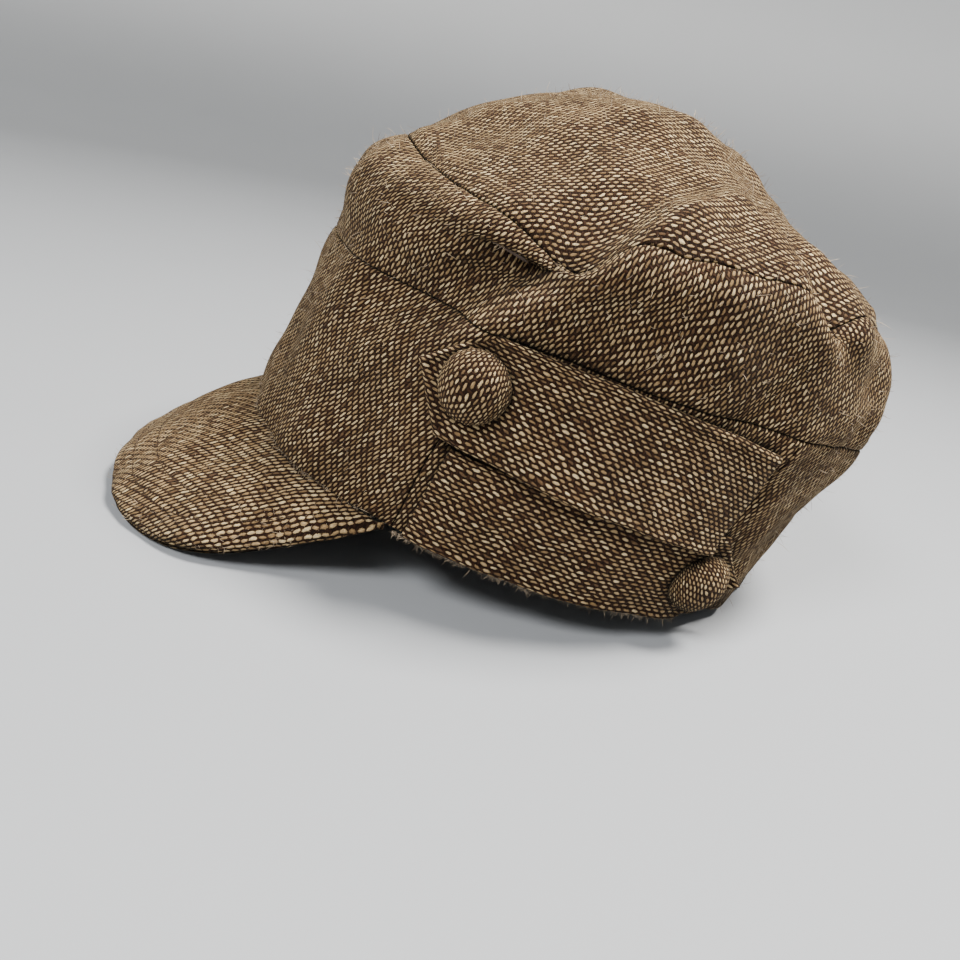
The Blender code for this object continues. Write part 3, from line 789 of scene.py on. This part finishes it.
def build_fuzz(finish):
    """Fine curved hairs that stand out of the cloth, as one piece of closed three-sided spindles."""
    rng = np.random.default_rng(11)
    roots, outward, lengths = crown_hairs(rng)
    groups = [(roots, outward), visor_hairs(rng)] + [strap_hairs(rng, side) for _, side in SIDES]
    roots, outward = (np.concatenate(parts) for parts in zip(*groups))
    lengths = np.concatenate([lengths, rng.gamma(4, 0.45, VISOR_HAIRS), rng.gamma(3, 0.4, 2 * STRAP_HAIRS)])
    rng = np.random.default_rng(5)
    count = len(roots)
    drift, curl = rng.normal(0, 1, (2, count, 3))
    along = unit(outward + 0.6 * drift)
    across = unit(np.cross(along, curl))
    third = np.cross(along, across)
    points = []
    for share, fat in FIBRE_PROFILE:
        spine = roots + along * (share * lengths)[:, None] + across * (0.35 * share**2 * lengths)[:, None]
        for k in range(3):
            turn = 2 * math.pi * k / 3
            points.append(spine + FIBRE_RADIUS * fat * (math.cos(turn) * across + math.sin(turn) * third))
    points = np.stack(points, 1).reshape(-1, 3)
    rows = len(FIBRE_PROFILE)
    shade = np.repeat(rng.uniform(0, 500, (count, 2)), 3 * rows, 0)
    make_piece("tweed_fibres", to_row(points), spindle_faces(count, rows, 3), shade, finish)


SHADER_SOCKETS = {
    "roughness": "Roughness",
    "metallic": "Metallic",
    "specular": "Specular IOR Level",
    "sheen": "Sheen Weight",
    "sheen_tint": "Sheen Tint",
}


def arithmetic(operation, turned=False):
    def apply(self, *others):
        values = (*others, self) if turned else (self, *others)
        return self.finish.math(operation, *values)

    return apply


class Signal:
    """A value in a material's nodes; arithmetic on it adds Math nodes."""

    def __init__(self, finish, socket):
        self.finish = finish
        self.socket = socket

    __add__, __radd__ = arithmetic("ADD"), arithmetic("ADD", turned=True)
    __sub__, __rsub__ = arithmetic("SUBTRACT"), arithmetic("SUBTRACT", turned=True)
    __mul__, __truediv__ = arithmetic("MULTIPLY"), arithmetic("DIVIDE")
    __pow__, __abs__ = arithmetic("POWER"), arithmetic("ABSOLUTE")


class Finish:
    """A procedural material, with short ways to add and link its nodes."""

    def __init__(self, name, **looks):
        self.material = bpy.data.materials.new(name)
        self.material.use_nodes = True
        self.tree = self.material.node_tree
        self.inputs = self.tree.nodes["Principled BSDF"].inputs
        for look, value in looks.items():
            self.link(value, self.inputs[SHADER_SOCKETS[look]])

    def link(self, value, socket):
        if isinstance(value, Signal):
            self.tree.links.new(value.socket, socket)
        elif hasattr(value, "__len__") and socket.type == "RGBA":
            socket.default_value = (*value, 1)
        else:
            socket.default_value = value

    def add(self, kind, output=0, values=(), **settings):
        node = self.tree.nodes.new("ShaderNode" + kind)
        for key, value in settings.items():
            setattr(node, key, value)
        for key, value in dict(values).items():
            self.link(value, node.inputs[key])
        return Signal(self, node.outputs[output])

    def math(self, operation, *values):
        return self.add("Math", values=enumerate(values), operation=operation)

    def vector(self, operation, *values):
        return self.add("VectorMath", values=enumerate(values), operation=operation)

    def cloth(self):
        return self.add("Attribute", "Vector", attribute_name="cloth")

    def place(self):
        return self.add("TexCoord", "Object")

    def noise(self, place, scale, detail=2, output="Fac", roughness=0.5):
        values = {"Vector": place, "Scale": scale, "Detail": detail, "Roughness": roughness}
        return self.add("TexNoise", output, values=values)

    def ramp(self, value, *stops):
        node = self.tree.nodes.new("ShaderNodeValToRGB")
        while len(node.color_ramp.elements) < len(stops):
            node.color_ramp.elements.new(1)
        for element, (position, colour) in zip(node.color_ramp.elements, stops):
            element.position = position
            element.color = (*colour, 1)
        self.link(value, node.inputs[0])
        return Signal(self, node.outputs[0])

    def between(self, value, low, high, to_low=0, to_high=1, kind="SMOOTHSTEP"):
        values = {0: value, 1: low, 2: high, 3: to_low, 4: to_high}
        return self.add("MapRange", values=values, interpolation_type=kind)

    def mix(self, share, a, b, blend="MIX"):
        values = {0: share, 6: a, 7: b}  # the sockets of a colour mix; its result is output 2
        return self.add("Mix", 2, values=values, data_type="RGBA", blend_type=blend)

    def combined(self, x, y, z=0):
        return self.add("CombineXYZ", values=enumerate((x, y, z)))

    def separated(self, vector):
        node = self.tree.nodes.new("ShaderNodeSeparateXYZ")
        self.link(vector, node.inputs[0])
        return [Signal(self, socket) for socket in node.outputs]

    def times(self, colour, share):
        return self.mix(1, colour, self.combined(share, share, share), "MULTIPLY")

    def wave(self, turns):
        return self.between(self.math("SINE", turns), -1, 1)

    def done(self, colour, height, relief_mm, roughness=None):
        bump = {"Height": height, "Distance": relief_mm * MM, "Strength": 1}
        self.link(colour, self.inputs["Base Color"])
        self.link(self.add("Bump", values=bump), self.inputs["Normal"])
        if roughness is not None:
            self.link(roughness, self.inputs["Roughness"])
        return self.material


def tweed(name, brightness=1, lean=0.1, fleck_length=0.41):
    """Light slubby flecks of one yarn in half-drop rows over dark yarn of the other."""
    f = Finish(name, roughness=0.95, sheen=0.05, sheen_tint=(0.9, 0.72, 0.5), specular=0.1)
    cloth = f.cloth()
    wander = f.vector("SUBTRACT", f.noise(cloth, 0.13, 2, "Color"), (0.5, 0.5, 0.5))
    jitter = f.vector("SUBTRACT", f.noise(cloth, 0.8, 2, "Color"), (0.5, 0.5, 0.5))
    moved = f.vector("MULTIPLY_ADD", wander, (1.6, 1.6, 0), cloth)
    moved = f.vector("MULTIPLY_ADD", jitter, (0.55, 0.4, 0), moved)
    fibres = f.noise(f.vector("MULTIPLY", moved, (0.9, 6.5, 1)), 1, 3)
    fuzz = f.noise(cloth, 3.4, 3)

    # A point's place in its cell of the weave, -0.5 to 0.5 each way. Every other row is half a cell on.
    along, across, _ = f.separated(moved)
    across = across / YARN_ROW
    row = f.math("FLOOR", across)
    from_row = across - row - 0.5
    along = along / FLECK + f.math("FLOORED_MODULO", row, 2) * 0.5
    column = f.math("FLOOR", along)
    from_column = along - column - 0.5
    chance = f.add("TexWhiteNoise", "Color", values={"Vector": f.combined(column, row)})
    first, second, third = f.separated(chance)

    # Each fleck is a leaning oval of its own length, width and lean, with a ragged edge.
    half_length = f.between(first, 0, 1, fleck_length - 0.08, fleck_length + 0.04, "LINEAR")
    half_width = f.between(second, 0, 1, 0.27, 0.38, "LINEAR")
    own_chance = f.math("FRACT", third * 7)
    own_lean = f.between(own_chance, 0, 1, lean - LEAN_SPREAD, lean + LEAN_SPREAD, "LINEAR")
    leaning = f.math("MULTIPLY_ADD", from_column, own_lean, from_row)
    reach = abs(from_column / half_length) ** 2.3 + abs(leaning / half_width) ** 2
    ragged = (fuzz - 0.5) * 1.1 + (fibres - 0.5) * 0.9
    mound = f.math("MAXIMUM", 1 + ragged - reach, 0)

    # The dark yarn floats over the light one between two flecks.
    beside = (abs(from_column) - 0.5) / 0.13
    crossing = f.math("MAXIMUM", 1 - (abs(beside) ** 2 + abs(from_row / 0.62) ** 2), 0)

    # Painted shading: each light fleck is painted brighter on its raised middle and darker towards its edges.
    light = f.times(f.ramp(third, *LIGHT_YARNS), f.between(mound, 0, 0.85, 0.62, 1.2, "LINEAR"))
    light = f.mix(f.between(f.noise(cloth, 0.21, 1), 0.6, 0.75, 0, 0.4), light, GOLDEN_YARN)
    streaks = f.ramp(fibres, (0.3, (0.5, 0.47, 0.44)), (0.66, (1.2, 1.2, 1.2)))
    light = f.mix(1, light, streaks, "MULTIPLY")
    dark = f.ramp(f.noise(moved, 0.9, 3), (0.35, DARKER_YARN), (0.75, DARK_YARN))
    dark = f.mix(crossing * 0.6, dark, DARK_FLOAT)
    colour = f.mix(f.between(mound, 0.02, 0.42), dark, light)
    colour = f.mix(f.between(fuzz, 0.58, 0.8, 0, 0.15), colour, STRAY_FIBRE)
    worn = f.between(f.noise(cloth, 0.045, 3), 0.3, 0.7, 0.8 * brightness, 1.2 * brightness, "LINEAR")
    # Painted shade: the colour darkens where nearby surfaces close over the cloth, in seams, creases and
    # under straps and buttons.
    open_air = f.add("AmbientOcclusion", "AO", values={"Distance": CREVICE_SHADE_REACH}, samples=6)
    colour = f.times(f.times(colour, worn), f.between(open_air, 0.3, 0.97, 0.12, 1))
    raised = f.math("MULTIPLY_ADD", crossing, 0.35, mound**0.6 * 0.8)
    return f.done(colour, raised + (fibres * 0.2 + fuzz * 0.3), 0.75)


def toned(colour, share):
    return tuple(c * share for c in colour)


def hair(name):
    """Single fibres: some light, some dark, each its own shade."""
    f = Finish(name, roughness=0.8, sheen=0.1, specular=0.2)
    tone = f.noise(f.cloth(), 3, 1)
    shade = f.ramp(tone, (0.35, (0.08, 0.045, 0.025)), (0.6, (0.55, 0.43, 0.29)))
    return f.done(shade, tone, 0.02)


def satin(name, colour):
    f = Finish(name, roughness=0.38, sheen=0.1, specular=0.45)
    cloth = f.cloth()
    threads = f.noise(f.vector("MULTIPLY", cloth, (0.5, 9, 1)), 1, 2)
    folds = f.noise(cloth, 0.06, 2)
    darker = toned(colour, 0.55)
    woven = f.ramp(threads, (0.3, darker), (0.7, toned(colour, 1.5)))
    shade = f.mix(0.5, woven, f.ramp(folds, (0.3, darker), (0.7, colour)))
    height = f.math("MULTIPLY_ADD", threads, 0.25, folds)
    return f.done(shade, height, 0.15, f.between(threads, 0.2, 0.8, 0.3, 0.5))


def twill(name, colour, pitch=0.9):
    """Cloth with fine slanting ribs."""
    f = Finish(name, roughness=0.8, sheen=0.25, specular=0.25)
    cloth = f.cloth()
    x, y, _ = f.separated(cloth)
    rib = f.wave(((x + y) / pitch + f.noise(cloth, 0.7, 2) * 0.6) * (2 * math.pi))
    shade = f.mix(rib, toned(colour, 0.45), colour)
    worn = f.between(f.noise(cloth, 0.08, 3), 0.45, 0.75, 0, 0.35)
    return f.done(f.mix(worn, shade, toned(colour, 1.7)), rib, 0.12)


def matted(name, colour, place_kind, scale):
    """A sheet of matted fibres, or a matt moulded sheet."""
    f = Finish(name, roughness=0.85, specular=0.25)
    grain = f.noise(place_kind(f), scale, 5, roughness=0.7)
    shade = f.ramp(grain, (0.3, toned(colour, 0.75)), (0.7, colour))
    return f.done(shade, grain, 0.1, f.between(grain, 0.3, 0.7, 0.75, 0.95))


def pressed_metal(name):
    f = Finish(name, roughness=0.35, metallic=1, specular=0.5)
    place = f.place()
    scuffs = f.noise(f.vector("MULTIPLY", place, (1, 1, 14)), 900, 4)
    spots = f.noise(place, 260, 3)
    shade = f.mix(f.between(spots, 0.5, 0.75), (0.62, 0.61, 0.58), (0.38, 0.35, 0.3))
    return f.done(shade, scuffs, 0.03, f.between(scuffs, 0.3, 0.7, 0.25, 0.5))


def sewing_thread(name, colour):
    f = Finish(name, roughness=0.9, specular=0.1)
    place = f.vector("MULTIPLY", f.place(), (1000, 1000, 1000))
    x, y, z = f.separated(place)
    ply = f.wave((x + y + z * 1.3) * (THREAD_TWIST * math.pi))
    shade = f.mix(ply, toned(colour, 0.5), toned(colour, 1.4))
    shade = f.mix(f.between(f.noise(place, 0.5, 2), 0.4, 0.7, 0, 0.4), shade, colour)
    return f.done(shade, ply, 0.08)


def levels_between(low, high, over_visor=False):
    """A panel's lowest and highest level at each angle; over the visor its low edge may rise."""
    def levels(theta):
        rise = front_rise(theta) / BAND_RISE if over_visor else np.zeros(theta.shape)
        return rise + low, np.full(theta.shape, high)

    return levels


def build_bands(cloth):
    levels = levels_between(0, BAND_SEAM - PANEL_TRIM / 30, over_visor=True)
    bands = (
        ("front_band", -FRONT_SEAM, FRONT_SEAM, 205, 18, -2, "front_stay"),
        ("side_band_left", FRONT_SEAM, REAR_SEAM, 100, 14, 4, "sweatband"),
        ("side_band_right", -REAR_SEAM, -FRONT_SEAM, 100, 14, 4, "sweatband"),
        ("back_band", REAR_SEAM, 360 - REAR_SEAM, 215, 12, 6, "sweatband"),
    )
    for node, start, end, width, lean, row_lean, behind in bands:
        piece = panel(f"{node}_cloth", (start + SEAM_TRIM, end - SEAM_TRIM), levels, SHELL_LAYER, cloth,
                      (71, width), grain=((0, lean, row_lean),))
        declare_panel(piece, [behind], node)


def build_crown(cloth):
    build_bands(cloth)
    side_levels = levels_between(BAND_SEAM + LEVEL_TRIM, TOP_SEAM - LEVEL_TRIM)
    for side_name, start in HALVES:
        node = f"side_panel_{side_name}"
        grain = np.array(SIDE_PANEL_GRAIN)
        grain[:, 0] += start
        piece = panel(f"{node}_cloth", (start + SEAM_TRIM, start + 180 - SEAM_TRIM), side_levels,
                      SHELL_LAYER, cloth, (40, 300), grain=grain)
        declare_panel(piece, [f"side_band_{side_name}"], node)
    piece = dome("top_panel_cloth", SHELL_LAYER, cloth)
    declare_panel(piece, ["side_panel_left", "side_panel_right"], "top_panel")
    turned_in = levels_between(TOP_SEAM - 0.24, TOP_SEAM + 0.12)
    for side_name, start in HALVES:
        piece = panel(f"top_seam_allowance_{side_name}", (start, start + 180), turned_in,
                      ALLOWANCE_LAYER, cloth, (9, 300), roll=0.3)
        declare_panel(piece, ["top_panel", f"side_panel_{side_name}"])


def build_inside(stay_cloth, lining_cloth, band_cloth, label_cloth):
    shell = ["front_band", "back_band"]
    stay_half = FRONT_SEAM - 1.5
    stay = panel("front_stay_cloth", (-stay_half, stay_half), levels_between(0.08, 1.9, True), STAY_LAYER,
                 stay_cloth, (64, 200), step=3, roll=0.3)
    declare_panel(stay, shell, "front_stay")
    for side_name, start in HALVES:
        node = f"lining_side_{side_name}"
        lining = panel(f"{node}_cloth", (start, start + 180), levels_between(0.03, 3.98, True), LINING_LAYER,
                       lining_cloth, (110, 300), step=2.4, roll=0.3)
        declare_panel(lining, shell, node)
    top = dome("lining_top_cloth", LINING_LAYER, lining_cloth, TOP_SEAM - 0.01, 0.3, 180)
    declare_panel(top, shell, "lining_top")
    sweatband = panel("sweatband_cloth", (180.05, 539.95), levels_between(0.05, 0.95, True), SWEATBAND_LAYER,
                      band_cloth, (34, 570), step=2.2, roll=0.5)
    declare_panel(sweatband, shell, "sweatband")
    label = panel("size_label_cloth", (168, 192), levels_between(1.08, 1.62), LABEL_LAYER, label_cloth,
                  (20, 40), step=1.5, roll=0.2)
    declare_panel(label, shell, "size_label")


def finish_cad_nodes(board, metal, thread):
    """The stiff pieces keep their CAD shape and get their real finish."""
    for name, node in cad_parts.items():
        if name == "visor_board":
            node.data.materials[0] = board
        elif name.startswith(("button_shell", "button_back")):
            node.data.materials[0] = metal
        elif name.startswith("button_thread"):
            node.data.materials[0] = thread


def add_camera():
    across = Vector((math.sin(CAMERA_AZIMUTH), -math.cos(CAMERA_AZIMUTH), 0)) * math.cos(CAMERA_ELEVATION)
    back = across + Vector((0, 0, math.sin(CAMERA_ELEVATION)))
    level_right = Vector((0, 0, 1)).cross(back).normalized()
    level_up = back.cross(level_right)
    right = level_right * math.cos(CAMERA_ROLL) + level_up * math.sin(CAMERA_ROLL)
    up = back.cross(right)
    turned = Matrix((right, up, back)).transposed().to_4x4()
    turned.translation = CAMERA_AIM + back * CAMERA_DISTANCE
    data = bpy.data.cameras.new("camera")
    data.lens = CAMERA_LENS
    data.clip_start = 0.01
    camera = add_object("camera", data)
    camera.matrix_world = turned
    bpy.context.scene.camera = camera


def add_light(spec):
    data = bpy.data.lights.new(spec.name, "AREA")
    data.shape = "DISK"
    data.size = spec.size
    data.energy = spec.power
    data.color = spec.colour
    light = add_object(spec.name, data)
    light.location = spec.place
    light.rotation_mode = "QUATERNION"
    light.rotation_quaternion = (LIGHT_AIM - Vector(spec.place)).to_track_quat("-Z", "Y")


def add_stage():
    """A round floor that curves up into a wall all round: grey on the floor, and painted paler up the wall as
    painted light on the backdrop.
    """
    profile = [(radius, 0) for radius in (0.05, 0.3, 0.8, FLOOR_RADIUS)]
    for a in np.linspace(0.1, math.pi / 2, 14):
        profile.append((FLOOR_RADIUS + WALL_CURVE * math.sin(a), WALL_CURVE - WALL_CURVE * math.cos(a)))
    profile.append((FLOOR_RADIUS + WALL_CURVE, WALL_TOP))
    radius, height = np.array(profile).T[..., None]
    turn = np.arange(STAGE_SIDES) * 2 * math.pi / STAGE_SIDES
    points = np.stack([radius * np.cos(turn), radius * np.sin(turn), height + 0 * turn], -1).reshape(-1, 3)
    left = np.arange(len(points)).reshape(-1, STAGE_SIDES)
    right = np.roll(left, -1, axis=1)
    mesh = bpy.data.meshes.new("floor")
    faces = [left[0].tolist()] + quads(right[:-1], left[:-1], left[1:], right[1:])
    mesh.from_pydata(points.tolist(), [], faces)
    mesh.shade_smooth()
    f = Finish("floor", roughness=0.7, specular=0.3)
    grain = f.noise(f.place(), 6, 3)
    _, _, rise = f.separated(f.place())
    # Painted light: the colour rises from grey on the floor to pale up the wall.
    pale = f.mix(f.between(rise, 0.03, 0.45), (0.32, 0.33, 0.34), (0.8, 0.81, 0.81))
    mottled = f.mix(1.0, pale, f.ramp(grain, (0.3, (0.98, 0.98, 0.98)), (0.7, (1, 1, 1))), "MULTIPLY")
    mesh.materials.append(f.done(mottled, grain, 0.1))
    add_object("floor", mesh)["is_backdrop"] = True


def add_world():
    world = bpy.data.worlds.new("world")
    world.use_nodes = True
    background = world.node_tree.nodes["Background"].inputs
    background["Color"].default_value = WORLD_COLOUR
    background["Strength"].default_value = WORLD_STRENGTH
    bpy.context.scene.world = world


def main():
    add_camera()
    add_world()
    add_stage()
    for light in LIGHTS:
        add_light(light)
    build_crown(tweed("crown_tweed"))
    build_inside(
        matted("stay_cloth", (0.75, 0.73, 0.68), Finish.cloth, 1.4),
        satin("lining_satin", (0.1, 0.065, 0.045)),
        twill("sweatband_twill", (0.07, 0.045, 0.03)),
        twill("label_cloth", (0.72, 0.66, 0.55), 0.4),
    )
    thread = sewing_thread("brown_thread", (0.05, 0.03, 0.018))
    build_visor(tweed("visor_tweed", 0.97, 0.1, 0.5))
    build_visor_stitching(thread)
    strap_cloth, button_cloth = tweed("strap_tweed", 0.98, -0.22), tweed("button_tweed")
    for strap in STRAPS:
        for side_name, side in SIDES:
            build_strap(strap, side_name, side, strap_cloth)
            build_button(strap, side_name, side, button_cloth)
    build_fuzz(hair("loose_hair"))
    board = matted("board_plastic", (0.8, 0.79, 0.74), Finish.place, 900)
    finish_cad_nodes(board, pressed_metal("button_metal"), thread)


def write_sizes():
    boxes = {"cad": CAD_BOX, "visual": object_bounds()}
    sizes = {name: [list(corner) for corner in box] for name, box in boxes.items()}


main()
write_sizes()
